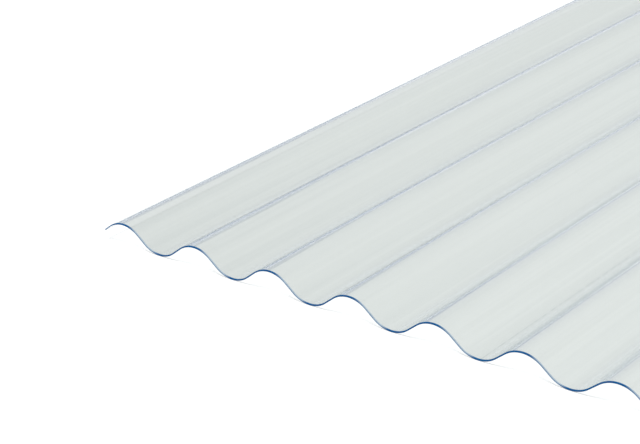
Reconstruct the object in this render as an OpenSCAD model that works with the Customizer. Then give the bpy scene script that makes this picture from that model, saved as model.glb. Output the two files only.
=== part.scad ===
// Corrugated PVC sheet, 76/18 round-wave profile, one extruded piece.
//
// The waves run along Y and are counted along X. The sheet lies flat with its
// valleys on Z = 0, and the origin is at the middle of its underside.

/* [Profile] */
// Distance from one crest to the next
wave_pitch = 76; // [60:1:100]
// Full waves between the two outermost crests
wave_count = 14; // [6:1:18]
// Overall depth, from the underside of a valley to the top of a crest
profile_depth = 18; // [12:0.5:30]
// Length of the straight stretch of each flank, between the arcs of crest and valley
flank_flat = 10; // [2:0.5:16]
// Thickness of the sheet, square to its surface
sheet_thickness = 1.1; // [0.8:0.1:2]
// Width past the centre of each outermost crest, down to the cut side
side_lap = 21; // [10:0.5:30]

/* [Length] */
// Length of the sheet along the waves
sheet_length = 2000; // [600:50:4000]

/* [Smoothness] */
// Flat strips that stand for one full wave
strips_per_wave = 24; // [16:4:40]

/* [Hidden] */

sheet_width = wave_count * wave_pitch + 2 * side_lap;
// Half the travel of the mid surface, from its valleys to its crests
wave_height = (profile_depth - sheet_thickness) / 2;
mid_height = profile_depth / 2;
half_wave = wave_pitch / 2;
first_crest = -wave_count * wave_pitch / 2;

// Slant of the flanks. A line from a crest to the middle of the flank beside it
// turns by half this angle, which gives it from the wave's height and width.
flank_angle = 2 * atan(wave_height / (half_wave / 2 + flank_flat / 2));
// Radius of the mid surface over crests and under valleys
arc_radius = (half_wave / 2 - flank_flat / 2 * cos(flank_angle)) / sin(flank_angle);
// How far each arc reaches to either side of its crest or valley
arc_reach = arc_radius * sin(flank_angle);

strip_width = wave_pitch / strips_per_wave;
// Whole strips in each side lap; what is left over is at least a quarter strip
lap_strips = floor(side_lap / strip_width - 0.25);

clear_pvc = [0.86, 0.89, 0.89, 0.55];

// Number of the crest or valley nearest to a place across the sheet, from 0 at
// the first crest; the odd ones are valleys
function nearest(x) = round((x - first_crest) / half_wave);

// 1 where the nearest is a crest, and -1 where it is a valley
function bulge(x) = nearest(x) % 2 == 0 ? 1 : -1;

// Distance from the nearest crest or valley
function away(x) = x - first_crest - nearest(x) * half_wave;

// Slope of the mid surface, as rise over run: that of a circle, then of a line
function wave_slope(x) =
    let (d = away(x))
    -bulge(x) * (abs(d) < arc_reach
        ? d / sqrt(pow(arc_radius, 2) - pow(d, 2))
        : sign(d) * tan(flank_angle));

// How far the mid surface has left the height of the nearest crest or valley
function departure(d) = d < arc_reach
    ? arc_radius - sqrt(pow(arc_radius, 2) - pow(d, 2))
    : arc_radius * (1 - cos(flank_angle)) + (d - arc_reach) * tan(flank_angle);

// Height of the mid surface
function wave_mid(x) = mid_height + bulge(x) * (wave_height - departure(abs(away(x))));

// Half the thickness measured straight up, which grows where the wave is steep
function half_rise(x) = sheet_thickness / 2 * sqrt(1 + pow(wave_slope(x), 2));

// Places across the sheet where the profile is worked out: the two cut sides,
// and between them every strip, with a place on each crest and in each valley
function profile_places() = concat(
    [-sheet_width / 2],
    [for (i = [-lap_strips : wave_count * strips_per_wave + lap_strips])
        first_crest + i * strip_width],
    [sheet_width / 2]
);

// Cross-section of the sheet: out along its top face and back along its underside
module wave_section() {
    places = profile_places();
    last = len(places) - 1;
    top_face = [for (x = places) [x, wave_mid(x) + half_rise(x)]];
    underside = [for (i = [last : -1 : 0])
        [places[i], wave_mid(places[i]) - half_rise(places[i])]];
    polygon(concat(top_face, underside));
}

// The whole sheet: one section drawn out along its length
module corrugated_sheet() {
    color(clear_pvc)
        rotate([90, 0, 0])
            linear_extrude(height = sheet_length, center = true)
                wave_section();
}

corrugated_sheet();
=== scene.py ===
"""A clear corrugated PVC sheet lying on a white studio floor.

The sheet is one extruded piece: round waves, which are arcs joined by straight
flanks, drawn out along Y and cut square at both ends and along both sides. Its
skin is clear PVC with the fine draw lines that the die leaves. The first crests
have strips of painted reflection, a grey-lilac tint to their left, and one valley
has a thin scratch. The cuts are sawn edges, with a thin rim of sawn plastic on the
top face beside them. They show the deep blue that the plastic only has over a long
way through it, with painted light making them paler on the falling flanks.
"""

import logging
import math
from dataclasses import dataclass, field
from enum import Enum

import bpy
import numpy as np
from mathutils import Euler, Matrix, Vector


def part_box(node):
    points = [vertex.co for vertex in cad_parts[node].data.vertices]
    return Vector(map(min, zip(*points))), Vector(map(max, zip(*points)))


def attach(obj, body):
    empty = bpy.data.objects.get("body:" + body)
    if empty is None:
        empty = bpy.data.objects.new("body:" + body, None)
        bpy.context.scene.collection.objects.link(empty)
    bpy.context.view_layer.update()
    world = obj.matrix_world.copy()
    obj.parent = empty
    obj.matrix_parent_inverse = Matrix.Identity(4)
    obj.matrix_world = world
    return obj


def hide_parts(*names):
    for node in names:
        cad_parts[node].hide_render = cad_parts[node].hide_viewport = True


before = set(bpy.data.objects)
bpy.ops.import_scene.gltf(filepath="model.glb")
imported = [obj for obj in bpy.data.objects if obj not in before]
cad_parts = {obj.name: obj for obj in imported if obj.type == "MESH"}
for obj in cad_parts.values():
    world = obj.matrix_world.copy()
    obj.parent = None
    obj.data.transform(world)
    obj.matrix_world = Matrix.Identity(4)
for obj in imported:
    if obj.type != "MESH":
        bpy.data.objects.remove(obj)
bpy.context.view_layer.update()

log = logging.getLogger("corrugated_sheet")

NODE = "corrugated_sheet"
BODY = "root"
NODE_GAP = 220
MM = 0.001

Colour = tuple[float, float, float]
Span = tuple[float, float]
Socket = bpy.types.NodeSocket

WHITE: Colour = (1.0, 1.0, 1.0)


class Face(Enum):
    """The kinds of surface that the sheet shows, and their material slots."""

    SKIN = 0
    CUT = 1


class Ray(Enum):
    """The kinds of ray that a material or the surround tells apart."""

    CAMERA = "Is Camera Ray"
    SHADOW = "Is Shadow Ray"
    DIFFUSE = "Is Diffuse Ray"
    GLOSSY = "Is Glossy Ray"
    TRANSMISSION = "Is Transmission Ray"


class Blend(Enum):
    """What a Mix node blends: its data type, its three inputs in use, and its output."""

    COLOUR = ("RGBA", (0, 6, 7), 2)
    NUMBER = ("FLOAT", (0, 2, 3), 0)


# --------------------------------------------------------------------------
# Small helpers for node trees
# --------------------------------------------------------------------------


@dataclass
class NodeBench:
    """Places and joins the nodes of one tree."""

    tree: bpy.types.NodeTree

    @classmethod
    def on(cls, owner: bpy.types.Material | bpy.types.World) -> "NodeBench":
        """Clears the node tree of a material or world, and opens a bench on it.

        Args:
            owner: The material or world.

        Returns:
            The bench.
        """
        owner.use_nodes = True
        owner.node_tree.nodes.clear()
        return cls(owner.node_tree)

    def add(self, kind: str, **settings: object) -> bpy.types.Node:
        """Adds a node and sets its plain properties.

        Args:
            kind: Blender's name for the node's type.
            settings: Properties of the node, by name.

        Returns:
            The new node.
        """
        node = self.tree.nodes.new(kind)
        node.location = (NODE_GAP * len(self.tree.nodes), 0)
        for name, value in settings.items():
            setattr(node, name, value)
        return node

    def join(self, source: Socket, target: Socket) -> None:
        """Links an output to an input."""
        self.tree.links.new(source, target)

    def feed(self, target: Socket, value: object) -> None:
        """Gives an input its value.

        Args:
            target: The input.
            value: A socket to link to it, or a number or colour to set on it.
        """
        if isinstance(value, bpy.types.NodeSocket):
            self.join(value, target)
        elif isinstance(value, tuple):
            target.default_value = (*value, 1.0)
        else:
            target.default_value = value

    def group(self, tree: bpy.types.NodeTree, values: dict[str, float]) -> bpy.types.Node:
        """Places a node group.

        Args:
            tree: The group.
            values: Values of its inputs, by name.

        Returns:
            The group's node.
        """
        node = self.add("ShaderNodeGroup", node_tree=tree)
        for name, value in values.items():
            node.inputs[name].default_value = value
        return node

    def math(self, operation: str, *values: object) -> Socket:
        """Works out one sum.

        Args:
            operation: Name of the Math node's operation.
            values: Its sockets or numbers, in order.

        Returns:
            The socket that holds the result.
        """
        node = self.add("ShaderNodeMath", operation=operation)
        for slot, value in enumerate(values):
            self.feed(node.inputs[slot], value)
        return node.outputs[0]

    def mix(self, kind: Blend, share: Socket, low: object, high: object) -> Socket:
        """Blends two values.

        Args:
            kind: Whether they are colours or numbers.
            share: Socket that is 0 for the first value and 1 for the second.
            low: A socket or a plain value, taken at 0.
            high: A socket or a plain value, taken at 1.

        Returns:
            The socket that holds the blend.
        """
        data_type, inputs, output = kind.value
        node = self.add("ShaderNodeMix", data_type=data_type)
        for slot, value in zip(inputs, (share, low, high)):
            self.feed(node.inputs[slot], value)
        return node.outputs[output]

    def ramp(self, source: Socket, low: float, high: float) -> Socket:
        """Spreads the range from low to high over 0 to 1, smoothly and clamped.

        Args:
            source: Socket to spread out.
            low: Input that gives 0, which may be the larger one.
            high: Input that gives 1.

        Returns:
            The socket that holds the result.
        """
        node = self.add("ShaderNodeMapRange", interpolation_type="SMOOTHSTEP")
        self.join(source, node.inputs["Value"])
        node.inputs["From Min"].default_value = low
        node.inputs["From Max"].default_value = high
        return node.outputs["Result"]

    def band(self, source: Socket, rise: Span, fall: Span) -> Socket:
        """1 between two soft borders, each given from its outer side, and 0 outside them."""
        return self.math("MULTIPLY", self.ramp(source, *rise), self.ramp(source, *fall))

    def place(self, system: str = "Object") -> bpy.types.NodeOutputs:
        """X, Y and Z of a point.

        Args:
            system: Name of the coordinates, as Texture Coordinate calls them.

        Returns:
            The outputs X, Y and Z.
        """
        split = self.add("ShaderNodeSeparateXYZ")
        self.join(self.add("ShaderNodeTexCoord").outputs[system], split.inputs[0])
        return split.outputs

    def seen_by(self, *rays: Ray) -> Socket:
        """1 for rays of the given kinds, and 0 for all others.

        Args:
            rays: The kinds of ray.

        Returns:
            The socket that holds the share.
        """
        path = self.add("ShaderNodeLightPath")
        share = path.outputs[rays[0].value]
        for ray in rays[1:]:
            share = self.math("MAXIMUM", share, path.outputs[ray.value])
        return share

    def finish(self, kind: str, **shaders: Socket) -> None:
        """Adds the output node.

        Args:
            kind: Blender's name for the output node's type.
            shaders: The shader for each of its inputs, by name.
        """
        outlet = self.add(kind)
        for name, shader in shaders.items():
            self.join(shader, outlet.inputs[name])


# --------------------------------------------------------------------------
# The sheet
# --------------------------------------------------------------------------


@dataclass(frozen=True)
class WaveProfile:
    """Cross-section of the sheet, in metres, centred on X with its valleys on Z = 0."""

    width: float
    depth: float
    pitch: float = 76 * MM
    waves: int = 14
    flat: float = 10 * MM
    thickness: float = 1.1 * MM
    steps_per_wave: int = 48
    least_step: float = 0.25

    @property
    def first_crest(self) -> float:
        """Place of the leftmost crest."""
        return -self.waves * self.pitch / 2

    @property
    def height(self) -> float:
        """Half the travel of the mid surface."""
        return (self.depth - self.thickness) / 2

    @property
    def slant(self) -> float:
        """Angle of the flanks, which a wave's height and width and its flats give."""
        return 2 * math.atan(self.height / (self.pitch / 4 + self.flat / 2))

    @property
    def radius(self) -> float:
        """Radius of the mid surface over crests and under valleys."""
        return (self.pitch / 4 - self.flat / 2 * math.cos(self.slant)) / math.sin(self.slant)

    def places(self, border: float) -> np.ndarray:
        """Places across the sheet: every step from the first crest, and a border at each side.

        The place beside each border keeps at least the share least_step of a step off it.

        Args:
            border: Width of the border, in metres.

        Returns:
            Sorted X values, in metres.
        """
        step = self.pitch / self.steps_per_wave
        half = self.width / 2
        spare = math.floor((half - border + self.first_crest) / step - self.least_step)
        steps = np.arange(-spare, self.waves * self.steps_per_wave + spare + 1)
        inner = self.first_crest + steps * step
        return np.concatenate([[-half, border - half], inner, [half - border, half]])

    def faces(self, x: np.ndarray, shift: np.ndarray, ease: np.ndarray) -> tuple[np.ndarray, np.ndarray]:
        """Heights of the top face and the underside.

        Near a crest or a valley the mid surface is a circle, and past the
        circle's reach it is a line at the flanks' slant. The whole wave is
        eased by a small share. Half the thickness is added and taken off
        straight up, grown by the root of one plus the slope squared, so that
        the sheet has one thickness measured square to its surface.

        Args:
            x: Places across the sheet.
            shift: How far the wave has wandered sideways at each place.
            ease: Share of the full travel that each place keeps, at most 1.

        Returns:
            The top face's heights and the underside's heights.
        """
        walk = (x - self.first_crest - shift) / (self.pitch / 2)
        nearest = np.round(walk)
        bulge = np.where(nearest % 2 == 0, 1.0, -1.0)
        away = (walk - nearest) * self.pitch / 2
        reach = self.radius * math.sin(self.slant)
        leg = np.sqrt(self.radius**2 - np.minimum(np.abs(away), reach) ** 2)
        past = np.maximum(np.abs(away) - reach, 0.0)
        departure = self.radius - leg + past * math.tan(self.slant)
        middle = self.depth / 2 + ease * bulge * (self.height - departure)
        slope = ease * np.clip(away, -reach, reach) / leg
        rise = self.thickness / 2 * np.sqrt(1 + slope**2)
        return middle + rise, middle - rise


@dataclass(frozen=True)
class Swell:
    """A slow sine over the sheet: its radians per metre along Y and X, and its start."""

    along: float
    across: float
    start: float

    def at(self, x: np.ndarray, y: np.ndarray) -> np.ndarray:
        """Sine of along times Y plus across times X plus start, at each place."""
        return np.sin(self.along * y + self.across * x + self.start)


@dataclass(frozen=True)
class Handling:
    """Slight wander of the waves, as a thin sheet has once it has been handled."""

    sideways: float = 0.5 * MM
    flattening: float = 0.02
    long_wander: Swell = Swell(4.1, 6.3, 0.7)
    short_wander: Swell = Swell(9.7, -11.0, 2.1)
    short_share: float = 0.6
    long_dip: Swell = Swell(5.3, 3.1, 1.3)
    short_dip: Swell = Swell(-2.2, 13.0, 0.0)

    def shift(self, x: np.ndarray, y: np.ndarray) -> np.ndarray:
        """Sideways wander of the waves, in metres: two slow sines crossed over the sheet."""
        slow = self.long_wander.at(x, y) + self.short_share * self.short_wander.at(x, y)
        return self.sideways * slow / (1 + self.short_share)

    def ease(self, x: np.ndarray, y: np.ndarray) -> np.ndarray:
        """Share of the wave height left: one less a dip, a half plus half two sines' product."""
        dip = 0.5 + 0.5 * self.long_dip.at(x, y) * self.short_dip.at(x, y)
        return 1 - self.flattening * dip


@dataclass
class CorrugatedSheet:
    """The whole sheet as one closed mesh: top face, underside, two ends and two sides.

    A rim of the top face beside each cut, which the saw has roughened, has
    the finish of the cut.
    """

    profile: WaveProfile
    length: float
    rows: int = 56
    end_rim: float = 1.15 * MM
    side_rim: float = 0.8 * MM
    sharp_angle: float = 50.0
    handling: Handling = field(default_factory=Handling)

    def grid(self) -> tuple[np.ndarray, int, int]:
        """Points of both faces, row by row along the sheet.

        Each point is a function of its place across and its place along: the
        profile's height there, with the waves wandered and eased by handling.

        Returns:
            All points, top face first, with the counts of rows and columns.
        """
        across = self.profile.places(self.side_rim)
        half = self.length / 2
        inner = np.linspace(self.end_rim - half, half - self.end_rim, self.rows + 1)
        along = np.concatenate([[-half], inner, [half]])
        y, x = np.meshgrid(along, across, indexing="ij")
        top, under = self.profile.faces(x, self.handling.shift(x, y), self.handling.ease(x, y))
        points = [np.stack([x, y, z], axis=-1).reshape(-1, 3) for z in (top, under)]
        return np.concatenate(points), len(along), len(across)

    @staticmethod
    def strip(near: np.ndarray, far: np.ndarray) -> np.ndarray:
        """Quads between two equal runs of point numbers, one row of four for each step."""
        corners = [near[..., :-1], near[..., 1:], far[..., 1:], far[..., :-1]]
        return np.stack(corners, axis=-1).reshape(-1, 4)

    def quads(self, rows: int, columns: int) -> tuple[np.ndarray, np.ndarray]:
        """All quads of the closed shell, wound so that they face outwards.

        Args:
            rows: Count of points along the sheet.
            columns: Count of points across it.

        Returns:
            The quads, and the material slot of each.
        """
        top = np.arange(rows * columns).reshape(rows, columns)
        under = top + rows * columns
        near, far = top[1:-2], top[2:-1]
        runs = [
            (self.strip(near[:, 1:-1], far[:, 1:-1]), Face.SKIN),
            (self.strip(near[:, :2], far[:, :2]), Face.CUT),
            (self.strip(near[:, -2:], far[:, -2:]), Face.CUT),
            (self.strip(top[0], top[1]), Face.CUT),
            (self.strip(top[-2], top[-1]), Face.CUT),
            (self.strip(under[1:], under[:-1]), Face.SKIN),
            (self.strip(under[0], top[0]), Face.CUT),
            (self.strip(top[-1], under[-1]), Face.CUT),
            (self.strip(top[:, 0], under[:, 0]), Face.CUT),
            (self.strip(under[:, -1], top[:, -1]), Face.CUT),
        ]
        slots = [np.full(len(quads), face.value) for quads, face in runs]
        return np.concatenate([quads for quads, _ in runs]), np.concatenate(slots)

    def build(self) -> bpy.types.Object:
        """Makes the mesh and its object at the origin.

        Returns:
            The sheet's object.
        """
        points, rows, columns = self.grid()
        quads, slots = self.quads(rows, columns)
        mesh = bpy.data.meshes.new("corrugated_skin")
        mesh.from_pydata(points.tolist(), [], quads.tolist())
        mesh.polygons.foreach_set("material_index", slots.astype(np.int32))
        mesh.polygons.foreach_set("use_smooth", slots == Face.SKIN.value)
        mesh.set_sharp_from_angle(angle=math.radians(self.sharp_angle))
        mesh.update()
        sheet = bpy.data.objects.new("corrugated_skin", mesh)
        bpy.context.scene.collection.objects.link(sheet)
        return sheet

    def dress(self, sheet: bpy.types.Object) -> None:
        """Puts one finish on the skin and one on the cuts.

        Args:
            sheet: The sheet's object, whose faces have their material slots.
        """
        ruler = SheetRuler(self.profile.pitch, self.profile.first_crest, self.length / 2)
        finishes = {Face.SKIN: ClearPvc(ruler), Face.CUT: SawnEdge(ruler)}
        for face in Face:
            sheet.data.materials.append(finishes[face].build())


# --------------------------------------------------------------------------
# Node groups that both finishes use
# --------------------------------------------------------------------------


def open_group(name: str, inputs: dict[str, float], outputs: tuple[str, ...]) -> NodeBench:
    """Starts a node group whose sockets are all plain numbers.

    Args:
        name: Name of the group.
        inputs: Values that its inputs start with, by name.
        outputs: Names of its outputs.

    Returns:
        A bench on the group's tree.
    """
    tree = bpy.data.node_groups.new(name, "ShaderNodeTree")
    for title, value in inputs.items():
        socket = tree.interface.new_socket(title, in_out="INPUT", socket_type="NodeSocketFloat")
        socket.default_value = value
    for title in outputs:
        tree.interface.new_socket(title, in_out="OUTPUT", socket_type="NodeSocketFloat")
    return NodeBench(tree)


def wave_place_group() -> bpy.types.NodeTree:
    """Where a point lies on the sheet, as a node group.

    The distance from the first crest is counted in whole waves, rounded to the
    nearest crest; what is left over is the distance from that crest.

    Returns:
        The group, with Pitch, First Crest and Half Length in. Out come Across, from
        the first crest, Number, of the nearest crest, From Crest, which is negative
        to its left, and Inwards, from the nearer end.
    """
    found = bpy.data.node_groups.get("wave_place")
    if found:
        return found
    inputs = {"Pitch": 76 * MM, "First Crest": 0.0, "Half Length": 1.0}
    bench = open_group("wave_place", inputs, ("Across", "Number", "From Crest", "Inwards"))
    given = bench.add("NodeGroupInput").outputs
    place = bench.place()
    across = bench.math("SUBTRACT", place["X"], given["First Crest"])
    number = bench.math("ROUND", bench.math("DIVIDE", across, given["Pitch"]))
    from_crest = bench.math("SUBTRACT", across, bench.math("MULTIPLY", number, given["Pitch"]))
    inwards = bench.math("SUBTRACT", given["Half Length"], bench.math("ABSOLUTE", place["Y"]))
    outlet = bench.add("NodeGroupOutput")
    for slot, result in enumerate((across, number, from_crest, inwards)):
        bench.join(result, outlet.inputs[slot])
    return bench.tree


# The fine and the coarse layer: share of the lines across, and detail of the noise
LINE_LAYERS = ((1.0, 2.0), (0.19, 1.0))
# Noise that gives no line, and noise that gives a full one
LINE_CONTRAST: Span = (0.35, 0.65)


def draw_line_group() -> bpy.types.NodeTree:
    """The lines that a die or a saw draws over plastic, as a node group.

    Two layers of noise are averaged, of fine lines and of coarse bands. With few
    lines along Y they are long draw lines, and with as many along Y as along X
    they are the marks of a saw.

    Returns:
        The group, with Across and Along, both in lines per metre, in, and Lines
        from 0 to 1 out.
    """
    found = bpy.data.node_groups.get("draw_lines")
    if found:
        return found
    bench = open_group("draw_lines", {"Across": 400.0, "Along": 3.0}, ("Lines",))
    given = bench.add("NodeGroupInput").outputs
    place = bench.place()
    across = bench.math("MULTIPLY", place["X"], given["Across"])
    along = bench.math("MULTIPLY", place["Y"], given["Along"])
    layers = []
    for share, detail in LINE_LAYERS:
        spot = bench.add("ShaderNodeCombineXYZ")
        bench.join(bench.math("MULTIPLY", across, share), spot.inputs["X"])
        bench.join(along, spot.inputs["Y"])
        noise = bench.add("ShaderNodeTexNoise", noise_dimensions="2D")
        noise.inputs["Scale"].default_value = 1.0
        noise.inputs["Detail"].default_value = detail
        bench.join(spot.outputs[0], noise.inputs["Vector"])
        layers.append(noise.outputs[0])
    both = bench.math("MULTIPLY", bench.math("ADD", *layers), 1 / len(layers))
    bench.join(bench.ramp(both, *LINE_CONTRAST), bench.add("NodeGroupOutput").inputs[0])
    return bench.tree


def draw_lines(bench: NodeBench, across: float, along: float) -> Socket:
    """Mask of the draw lines, from their group, with this many per metre each way."""
    return bench.group(draw_line_group(), {"Across": across, "Along": along}).outputs["Lines"]


# --------------------------------------------------------------------------
# Finishes
# --------------------------------------------------------------------------


@dataclass(frozen=True)
class SheetRuler:
    """The measures that place a mark on the sheet."""

    pitch: float
    first_crest: float
    half_length: float

    def place(self, bench: NodeBench) -> bpy.types.NodeOutputs:
        """Adds the group that says where a point lies.

        Args:
            bench: Bench of the tree to build in.

        Returns:
            Its outputs Across, Number, From Crest and Inwards.
        """
        values = {
            "Pitch": self.pitch,
            "First Crest": self.first_crest,
            "Half Length": self.half_length,
        }
        return bench.group(wave_place_group(), values).outputs


@dataclass(frozen=True)
class PaintedReflectionStrips:
    """Painted reflection: grey-lilac strips tinted along the first crests, to the left of each crest."""

    # painted reflection: the grey-lilac tint of the strips
    tint: Colour = (0.81, 0.83, 0.86)
    left: float = -14 * MM
    tip: float = -5 * MM
    right: float = 0.5 * MM
    taper: float = 0.0275
    reach: float = 390 * MM
    reach_lost: float = 90 * MM
    soft: float = 1.0 * MM

    def mask(self, bench: NodeBench, place: bpy.types.NodeOutputs) -> Socket:
        """Mask of the strips.

        A strip lies to the left of its crest and a little over it. Its right
        border is at tip where its reach ends. Nearer the end of the sheet the
        border lies further right in proportion, by taper, but never past right.
        Each crest's strip reaches less far inwards than the one before it.

        Args:
            bench: Bench of the tree to build in.
            place: Where the point lies.

        Returns:
            The socket that holds the mask, 1 on the strips.
        """
        lost = bench.math("MULTIPLY", place["Number"], self.reach_lost)
        reach = bench.math("SUBTRACT", self.reach, bench.math("ADD", lost, place["Inwards"]))
        border = bench.math("ADD", bench.math("MULTIPLY", reach, self.taper), self.tip)
        border = bench.math("MINIMUM", border, self.right)
        inside = bench.math("SUBTRACT", border, place["From Crest"])
        right_side = bench.ramp(inside, 0.0, self.soft)
        left_side = bench.ramp(place["From Crest"], self.left, self.left + self.soft)
        return bench.math("MULTIPLY", right_side, left_side)


@dataclass(frozen=True)
class Scratch:
    """One thin scratch along a valley, broken here and there.

    Its borders are soft out to soft half widths, and it fades out from fade of
    its length onwards.
    """

    tint: Colour = (0.78, 0.81, 0.80)
    across: float = 344.7 * MM
    half_width: float = 0.3 * MM
    soft: float = 1.6
    length: float = 240 * MM
    fade: float = 0.8
    breaks_per_metre: float = 160.0
    break_detail: float = 2.0
    break_contrast: Span = (0.30, 0.60)

    def mask(self, bench: NodeBench, place: bpy.types.NodeOutputs) -> Socket:
        """Mask of the scratch: near its line, within its length, and not in a break.

        Args:
            bench: Bench of the tree to build in.
            place: Where the point lies.

        Returns:
            The socket that holds the mask, 1 in the scratch.
        """
        aside = bench.math("ABSOLUTE", bench.math("SUBTRACT", place["Across"], self.across))
        line = bench.ramp(aside, self.half_width * self.soft, self.half_width)
        reach = bench.ramp(place["Inwards"], self.length, self.length * self.fade)
        noise = bench.add("ShaderNodeTexNoise", noise_dimensions="1D")
        bench.join(place["Inwards"], noise.inputs["W"])
        noise.inputs["Scale"].default_value = self.breaks_per_metre
        noise.inputs["Detail"].default_value = self.break_detail
        whole = bench.ramp(noise.outputs[0], *self.break_contrast)
        return bench.math("MULTIPLY", bench.math("MULTIPLY", line, reach), whole)


@dataclass(frozen=True)
class ClearPvc:
    """Clear rigid PVC: a faint cool tint, glossy, with draw lines and a slight haze."""

    ruler: SheetRuler
    light_tint: Colour = (0.990, 0.990, 0.990)
    dark_tint: Colour = (0.960, 0.962, 0.962)
    lamp_tint: Colour = (0.93, 0.935, 0.92)
    kept_colour: Colour = (0.15, 0.37, 0.59)
    absorbed_density: float = 62.0
    refraction: float = 1.53
    smooth: float = 0.01
    hazed: float = 0.04
    lines_across: float = 420.0
    lines_along: float = 1.5
    line_depth: float = 0.002 * MM
    # painted reflection strips along the first crests
    painted_reflection_strips: PaintedReflectionStrips = PaintedReflectionStrips()
    scratch: Scratch = Scratch()

    def tint(self, bench: NodeBench, lines: Socket) -> Socket:
        """Colour of the skin, from its draw lines, then its strips of painted reflection and its
        scratch.

        Args:
            bench: Bench of the tree to build in.
            lines: Mask of the draw lines.

        Returns:
            The socket that holds the colour.
        """
        place = self.ruler.place(bench)
        tint = bench.mix(Blend.COLOUR, lines, self.light_tint, self.dark_tint)
        # the strips' tint is painted reflection; the scratch is a real mark
        for mark in (self.painted_reflection_strips, self.scratch):
            tint = bench.mix(Blend.COLOUR, mark.mask(bench, place), tint, mark.tint)
        return tint

    def skin(self, bench: NodeBench) -> Socket:
        """Adds the glossy, see-through shader of the skin.

        Args:
            bench: Bench of the tree to build in.

        Returns:
            The shader's socket.
        """
        lines = draw_lines(bench, self.lines_across, self.lines_along)
        shader = bench.add("ShaderNodeBsdfPrincipled")
        shader.inputs["Transmission Weight"].default_value = 1.0
        shader.inputs["IOR"].default_value = self.refraction
        shader.inputs["Metallic"].default_value = 0.0
        bench.join(self.tint(bench, lines), shader.inputs["Base Color"])
        rough = bench.mix(Blend.NUMBER, lines, self.smooth, self.hazed)
        bench.join(rough, shader.inputs["Roughness"])
        bump = bench.add("ShaderNodeBump")
        bump.inputs["Strength"].default_value = 1.0
        bump.inputs["Distance"].default_value = self.line_depth
        bench.join(lines, bump.inputs["Height"])
        bench.join(bump.outputs["Normal"], shader.inputs["Normal"])
        return shader.outputs[0]

    def build(self) -> bpy.types.Material:
        """Makes the material.

        A lamp's light passes straight through the sheet, so that the floor
        below stays as light as it is beside it.

        Returns:
            A glass-like material whose blue comes from the way through it.
        """
        material = bpy.data.materials.new("clear_pvc")
        bench = NodeBench.on(material)
        straight = bench.add("ShaderNodeBsdfTransparent")
        straight.inputs["Color"].default_value = (*self.lamp_tint, 1.0)
        either = bench.add("ShaderNodeMixShader")
        bench.join(bench.seen_by(Ray.SHADOW, Ray.DIFFUSE), either.inputs[0])
        bench.join(self.skin(bench), either.inputs[1])
        bench.join(straight.outputs[0], either.inputs[2])
        bulk = bench.add("ShaderNodeVolumeAbsorption")
        bulk.inputs["Color"].default_value = (*self.kept_colour, 1.0)
        bulk.inputs["Density"].default_value = self.absorbed_density
        bench.finish("ShaderNodeOutputMaterial", Surface=either.outputs[0], Volume=bulk.outputs[0])
        return material


@dataclass(frozen=True)
class SawnEdge:
    """A sawn cut through the sheet: deep blue, with painted light making it paler where the wave falls
    away.
    """

    ruler: SheetRuler
    deep: Colour = (0.0, 0.07, 0.22)
    deep_marked: Colour = (0.0, 0.09, 0.25)
    # painted light: the paler edge on falling flanks and on the first side lap
    painted_pale: Colour = (0.22, 0.31, 0.43)
    painted_pale_marked: Colour = (0.17, 0.26, 0.38)
    # painted light: the rim above a falling flank, painted nearly as pale as the clear skin looks
    painted_pale_rim: Colour = (0.40, 0.47, 0.52)
    painted_pale_from: Span = (4 * MM, 16 * MM)
    painted_pale_to: Span = (37 * MM, 28 * MM)
    painted_pale_lap_from: Span = (-8 * MM, -18 * MM)
    rim_from: Span = (0.02 * MM, 0.10 * MM)
    rim_to: Span = (3.0 * MM, 2.0 * MM)
    marks_per_metre: float = 350.0
    rough: float = 0.35
    marked_rough: float = 0.5
    shine: float = 0.1

    def build(self) -> bpy.types.Material:
        """Makes the material.

        Returns:
            An opaque material with saw marks, deep blue along crests and rising
            flanks, with painted light that makes it pale on falling flanks and on
            the first side lap, and palest on the rim above a falling flank.
        """
        material = bpy.data.materials.new("sawn_edge")
        bench = NodeBench.on(material)
        place = self.ruler.place(bench)
        # painted light: masks of the paler edge, on falling flanks and on the first side lap
        painted_pale_falling = bench.band(place["From Crest"], self.painted_pale_from, self.painted_pale_to)
        light = bench.math("MAXIMUM", painted_pale_falling, bench.ramp(place["Across"], *self.painted_pale_lap_from))
        rim = bench.band(place["Inwards"], self.rim_from, self.rim_to)

        marks = draw_lines(bench, self.marks_per_metre, self.marks_per_metre)
        clean = bench.mix(Blend.COLOUR, light, self.deep, self.painted_pale)
        marked = bench.mix(Blend.COLOUR, light, self.deep_marked, self.painted_pale_marked)
        cut = bench.mix(Blend.COLOUR, marks, clean, marked)
        # painted light: palest on the rim above a falling flank
        cut = bench.mix(Blend.COLOUR, bench.math("MULTIPLY", rim, painted_pale_falling), cut, self.painted_pale_rim)
        shader = bench.add("ShaderNodeBsdfPrincipled")
        shader.inputs["Specular IOR Level"].default_value = self.shine
        bench.join(cut, shader.inputs["Base Color"])
        rough = bench.mix(Blend.NUMBER, marks, self.rough, self.marked_rough)
        bench.join(rough, shader.inputs["Roughness"])
        bench.finish("ShaderNodeOutputMaterial", Surface=shader.outputs[0])
        return material


# --------------------------------------------------------------------------
# The studio
# --------------------------------------------------------------------------


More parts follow.
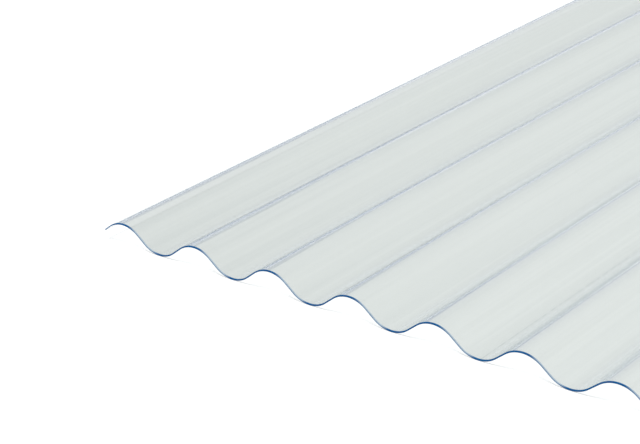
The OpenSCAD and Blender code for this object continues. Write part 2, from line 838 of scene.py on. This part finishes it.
@dataclass(frozen=True)
class Floor:
    """A white floor that shows as white and still takes the sheet's shadow.

    Part of its white is a glow and part is lit. Seen straight, glow and lit
    together pass white, so only the dense shadows right under a cut show on it.
    Through the sheet and in its gloss the floor has a glow of its own, and it is
    lit less. Through the sheet that glow is painted shade, darker and greener, for
    the sheet's shadow on the floor under it, and is painted a little darker still
    towards the left. To all other rays it is plain white paint.
    """

    half: float = 12.0
    drop: float = 0.25 * MM
    white: float = 0.8
    glow: float = 0.46
    lit: float = 0.56
    # painted shade: the glow seen through the sheet, darker and greener, for the sheet's shadow
    glow_in_glass_painted_shade: Colour = (0.502, 0.527, 0.492)
    glow_in_gloss: Colour = (0.92, 0.94, 0.92)
    lit_in_glass: float = 0.27
    # painted shade: the glow seen through the sheet grows darker towards the left
    painted_shade_leftwards_from: Span = (-0.05, -0.60)
    painted_shade_leftwards_share: float = 0.10

    def finish(self) -> bpy.types.Material:
        """Makes the floor's material.

        Returns:
            A matt white that also glows.
        """
        material = bpy.data.materials.new("white_floor")
        bench = NodeBench.on(material)
        direct = bench.seen_by(Ray.CAMERA)
        through = bench.seen_by(Ray.TRANSMISSION)
        indirect = bench.seen_by(Ray.GLOSSY, Ray.TRANSMISSION)
        glow = bench.add("ShaderNodeEmission")
        # through the sheet the glow carries painted shade
        glow_seen_in_with_painted_shade = bench.mix(Blend.COLOUR, through, self.glow_in_gloss, self.glow_in_glass_painted_shade)
        bench.join(bench.mix(Blend.COLOUR, direct, glow_seen_in_with_painted_shade, (self.glow,) * 3), glow.inputs["Color"])
        # painted shade, darker towards the left, only through the sheet
        painted_shade_leftwards = bench.ramp(bench.place()["X"], *self.painted_shade_leftwards_from)
        fade = bench.math("MULTIPLY", bench.math("MULTIPLY", painted_shade_leftwards, self.painted_shade_leftwards_share), through)
        seen = bench.math("SUBTRACT", bench.math("MAXIMUM", direct, indirect), fade)
        bench.join(seen, glow.inputs["Strength"])
        matt = bench.add("ShaderNodeBsdfDiffuse")
        lit = bench.mix(Blend.NUMBER, indirect, self.white, self.lit_in_glass)
        bench.join(bench.mix(Blend.NUMBER, direct, lit, self.lit), matt.inputs["Color"])
        both = bench.add("ShaderNodeAddShader")
        bench.join(matt.outputs[0], both.inputs[0])
        bench.join(glow.outputs[0], both.inputs[1])
        bench.finish("ShaderNodeOutputMaterial", Surface=both.outputs[0])
        material.cycles.emission_sampling = "NONE"
        return material

    def build(self) -> None:
        """Makes the floor, a little under the sheet's valleys."""
        mesh = bpy.data.meshes.new("floor")
        corners = [(-1, -1), (1, -1), (1, 1), (-1, 1)]
        points = [(self.half * x, self.half * y, -self.drop) for x, y in corners]
        mesh.from_pydata(points, [], [(0, 1, 2, 3)])
        floor = bpy.data.objects.new("floor", mesh)
        bpy.context.scene.collection.objects.link(floor)
        mesh.materials.append(self.finish())


@dataclass(frozen=True)
class Surround:
    """A soft surround: white to look at, and a cool tent in reflections and as light.

    A stop holds the sine of an angle above the floor and the tent's colour there.
    The tent is brighter towards the right, by the share skew.
    """

    stops: tuple[tuple[float, Colour], ...] = (
        (0.001, (0.20, 0.24, 0.42)),
        (0.10, (0.27, 0.31, 0.50)),
        (0.125, (0.62, 0.67, 0.76)),
        (0.16, (0.62, 0.67, 0.76)),
        (0.19, (0.52, 0.55, 0.64)),
        (0.40, (0.70, 0.73, 0.73)),
        (0.62, (0.93, 0.94, 0.91)),
        (0.68, (0.85, 0.86, 0.84)),
        (0.75, (0.38, 0.39, 0.40)),
        (0.999, (0.30, 0.31, 0.33)),
    )
    skew: float = 0.45

    def build(self) -> None:
        """Makes the world from the tent's colours."""
        world = bpy.data.worlds.new("studio")
        bpy.context.scene.world = world
        bench = NodeBench.on(world)
        place = bench.place("Generated")
        tent = bench.add("ShaderNodeValToRGB")
        ramp = tent.color_ramp.elements
        for height, colour in self.stops:
            ramp.new(height).color = (*colour, 1.0)
        ramp.remove(ramp[0])
        ramp.remove(ramp[-1])
        bench.join(place["Z"], tent.inputs[0])
        seen = bench.seen_by(Ray.CAMERA, Ray.TRANSMISSION)
        light = bench.add("ShaderNodeBackground")
        bench.join(bench.mix(Blend.COLOUR, seen, tent.outputs[0], WHITE), light.inputs["Color"])
        skewed = bench.math("ADD", bench.math("MULTIPLY", place["X"], self.skew), 1.0)
        bench.join(bench.mix(Blend.NUMBER, seen, skewed, 1.0), light.inputs["Strength"])
        bench.finish("ShaderNodeOutputWorld", Surface=light.outputs[0])


@dataclass(frozen=True)
class KeyLight:
    """A soft overhead lamp, which gives each cut its thin shadow on the floor.

    Its spread and its lean, about X and about Y, are in degrees.
    """

    strength: float = 2.5
    spread: float = 20.0
    lean: Span = (11.6, -5.9)

    def build(self) -> None:
        """Hangs the lamp, which itself is never seen in the sheet."""
        data = bpy.data.lights.new("key", "SUN")
        data.energy = self.strength
        data.angle = math.radians(self.spread)
        lamp = bpy.data.objects.new("key", data)
        bpy.context.scene.collection.objects.link(lamp)
        lamp.rotation_euler = [math.radians(lean) for lean in (*self.lean, 0.0)]
        lamp.visible_glossy = False
        lamp.visible_transmission = False


@dataclass(frozen=True)
class CameraStand:
    """The camera: where it stands, and its turn, tilt and slight roll in degrees."""

    place: tuple[float, float, float] = (0.49780, -2.02010, 0.65890)
    turn: float = 39.009
    tilt: float = 65.903
    roll: float = -1.811
    lens: float = 110.46
    far: float = 100.0

    def build(self) -> None:
        """Sets up the camera: level turn, then tilt, then roll."""
        data = bpy.data.cameras.new("camera")
        data.lens = self.lens
        data.clip_end = self.far
        camera = bpy.data.objects.new("camera", data)
        bpy.context.scene.collection.objects.link(camera)
        aim = Euler((math.radians(self.tilt), 0.0, math.radians(self.turn))).to_matrix()
        roll = Matrix.Rotation(math.radians(self.roll), 3, "Z")
        camera.matrix_world = Matrix.LocRotScale(Vector(self.place), aim @ roll, None)
        bpy.context.scene.camera = camera


@dataclass(frozen=True)
class Studio:
    """Everything around the sheet, and how far light is followed through its waves."""

    bounces: int = 32

    def build(self) -> None:
        """Puts up the floor, the surround, the lamp and the camera."""
        for part in (Floor(), Surround(), KeyLight(), CameraStand()):
            part.build()
        scene = bpy.context.scene
        scene.view_settings.view_transform = "Standard"
        for kind in ("max_bounces", "transmission_bounces", "glossy_bounces"):
            setattr(scene.cycles, kind, self.bounces)


def main() -> None:
    """Builds the sheet and the studio."""
    logging.basicConfig(level=logging.INFO, format="%(name)s: %(message)s")
    low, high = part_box(NODE)
    profile = WaveProfile(width=high.x - low.x, depth=high.z - low.z)
    maker = CorrugatedSheet(profile=profile, length=high.y - low.y)
    sheet = maker.build()
    maker.dress(sheet)
    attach(sheet, BODY)
    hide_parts(NODE)
    mesh = sheet.data
    log.info("%s: %d points, %d faces", sheet.name, len(mesh.vertices), len(mesh.polygons))
    Studio().build()
    log.info("studio: floor, surround, key light and camera")


if __name__ == "__main__":
    main()
